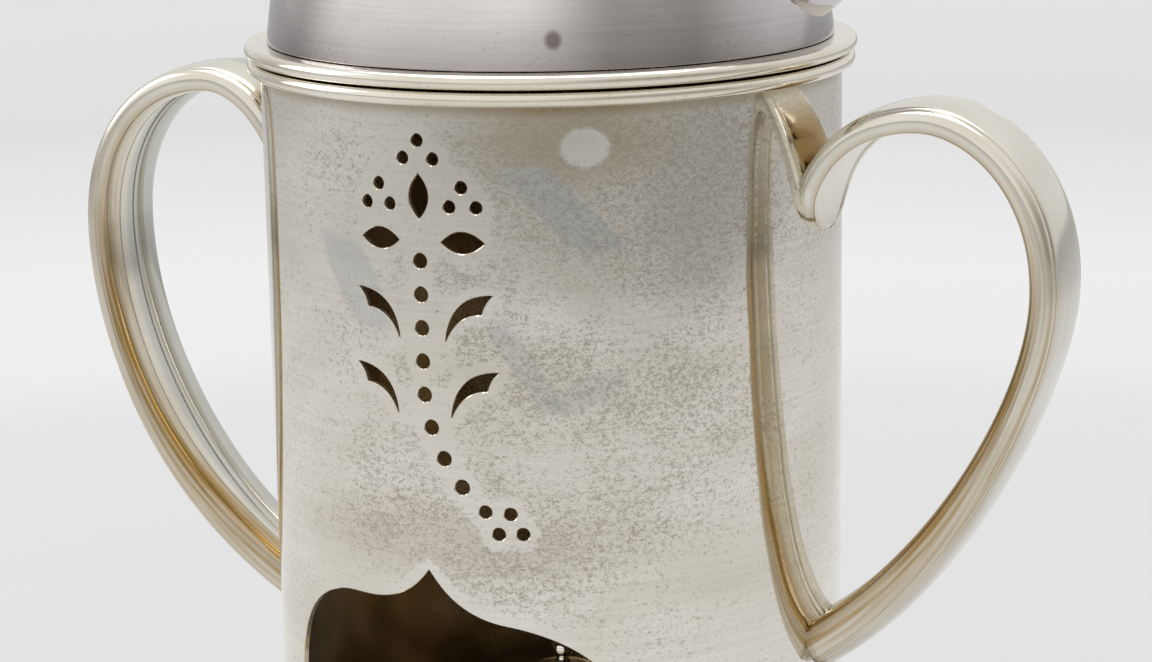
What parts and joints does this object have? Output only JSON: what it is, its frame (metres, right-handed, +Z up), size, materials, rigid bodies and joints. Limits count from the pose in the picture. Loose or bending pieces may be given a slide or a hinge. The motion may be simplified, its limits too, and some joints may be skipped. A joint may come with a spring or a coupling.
{
  "type": "tea kettle on stand",
  "caption": "Silver tea kettle with spout, hinged lid and swing handle, lifting out of a pierced cylindrical lamp stand with strap handles and a spirit lamp that slides out.",
  "frame": {"origin": "centre of the stand's foot on the table", "axes": "+Z up; -Y is the front with the lamp opening and the pierced flower; the stand's two handles lie along X, and the spout points to the +X side, 7.6 degrees towards +Y as the loose kettle was set down"},
  "size_m": [0.223, 0.1292, 0.3545],
  "materials": {
    "stand_silver": "old polished silver, warm, with fine tarnish specks",
    "kettle_silver": "old polished silver, cooler, with fine scratches",
    "inner_silver": "tarnished silver inside the stand",
    "ebonised_wood": "ebonised and waxed",
    "cotton": "plaited cotton wick"
  },
  "bodies": {
    "stand": {"stand_body": "stand_silver", "stand_rim": "stand_silver", "foot_ring": "stand_silver", "stand_floor": "inner_silver", "handle_right": "stand_silver", "handle_left": "stand_silver", "lamp_guide": "inner_silver"},
    "lamp": {"lamp_font": "inner_silver"},
    "burner": {"wick_holder": "inner_silver", "wick": "cotton"},
    "snuffer": {"snuffer_cap": "stand_silver", "snuffer_knob": "stand_silver"},
    "kettle": {"kettle_flange": "stand_silver", "kettle_base": "kettle_silver", "kettle_wall": "kettle_silver", "kettle_shoulder": "kettle_silver", "spout": "kettle_silver", "hinge_base": "kettle_silver", "hinge_pin": "stand_silver", "bail_lug_front": "kettle_silver", "bail_lug_rear": "kettle_silver", "bail_pin_front": "stand_silver", "bail_pin_rear": "stand_silver"},
    "lid": {"lid": "kettle_silver", "hinge_leaf": "kettle_silver", "finial_stem": "stand_silver", "finial_knob": "ebonised_wood", "finial_button": "stand_silver", "finial_nut": "stand_silver"},
    "bail": {"bail_arm_front": "kettle_silver", "bail_arm_rear": "kettle_silver", "bail_ferrule_front": "stand_silver", "bail_ferrule_rear": "stand_silver", "bail_grip": "ebonised_wood"}
  },
  "joints": [
    {"name": "kettle_lift", "type": "slide", "parent": "stand", "child": "kettle", "axis": [0, 0, 1], "range_m": [0, 0.05]},
    {"name": "lid_hinge", "type": "hinge", "parent": "kettle", "child": "lid", "pos_m": [-0.00456, 0.0342, 0.2764], "axis": [-0.9912, -0.1323, 0], "range_deg": [0, 110]},
    {"name": "bail_swing", "type": "hinge", "parent": "kettle", "child": "bail", "pos_m": [0, 0, 0.2754], "axis": [0.9912, 0.1323, 0], "range_deg": [-122, 122]},
    {"name": "lamp_slide", "type": "slide", "parent": "stand", "child": "lamp", "axis": [0, -1, 0], "range_m": [0, 0.1]},
    {"name": "burner_lift", "type": "slide", "parent": "lamp", "child": "burner", "axis": [0, 0, 1], "range_m": [0, 0.03]},
    {"name": "snuffer_lift", "type": "slide", "parent": "burner", "child": "snuffer", "axis": [0, 0, 1], "range_m": [0, 0.03]}
  ]
}
